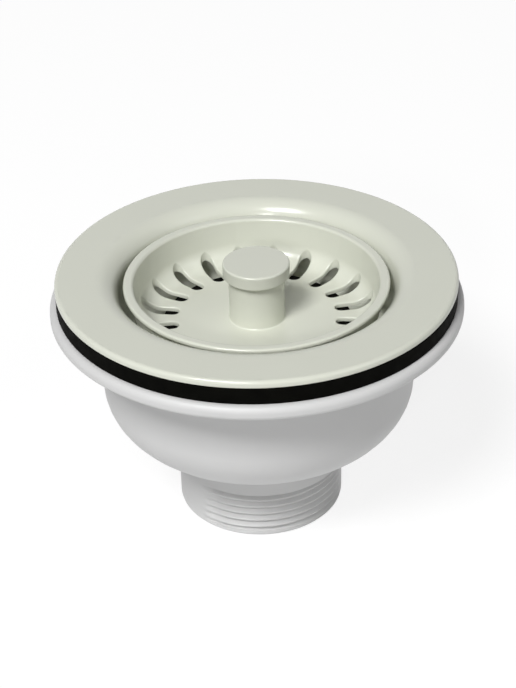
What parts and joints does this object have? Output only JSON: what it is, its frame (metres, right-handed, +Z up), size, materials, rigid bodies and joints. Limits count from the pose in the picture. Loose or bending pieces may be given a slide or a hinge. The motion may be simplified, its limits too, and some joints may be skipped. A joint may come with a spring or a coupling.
{
  "type": "sink waste",
  "caption": "Basket strainer waste for a kitchen sink: flanged well on a rubber gasket, bowl body with threaded outlet, and a slotted strainer that pushes down to seal.",
  "frame": {"origin": "on the waste's axis, in the plane of the flange's underside, where it sits on the sink", "axes": "+Z up along the waste's axis, out of the drain; +Y away from the viewer of the picture"},
  "size_m": [0.1166, 0.1166, 0.0779],
  "materials": {
    "cream_plastic": "moulded, glossy",
    "white_plastic": "moulded, half-gloss",
    "black_rubber": "smooth, matt",
    "brass": "turned",
    "stainless_steel": "bright, as rolled"
  },
  "bodies": {
    "waste": {"flange": "cream_plastic", "sink_gasket": "black_rubber", "body": "white_plastic", "insert_nut": "brass", "fixing_screw": "stainless_steel"},
    "grip_ring": {"stem_ring": "black_rubber"},
    "strainer": {"basket": "cream_plastic", "knob_cap": "cream_plastic", "seal_retainer": "white_plastic", "basket_seal": "black_rubber"}
  },
  "joints": [
    {"name": "basket_lift", "type": "slide", "parent": "waste", "child": "grip_ring", "axis": [0, 0, 1], "range_m": [-0.005, 0.045]},
    {"name": "basket_turn", "type": "hinge", "parent": "grip_ring", "child": "strainer", "pos_m": [0, 0, -0.0264], "axis": [0, 0, 1], "continuous": true}
  ]
}
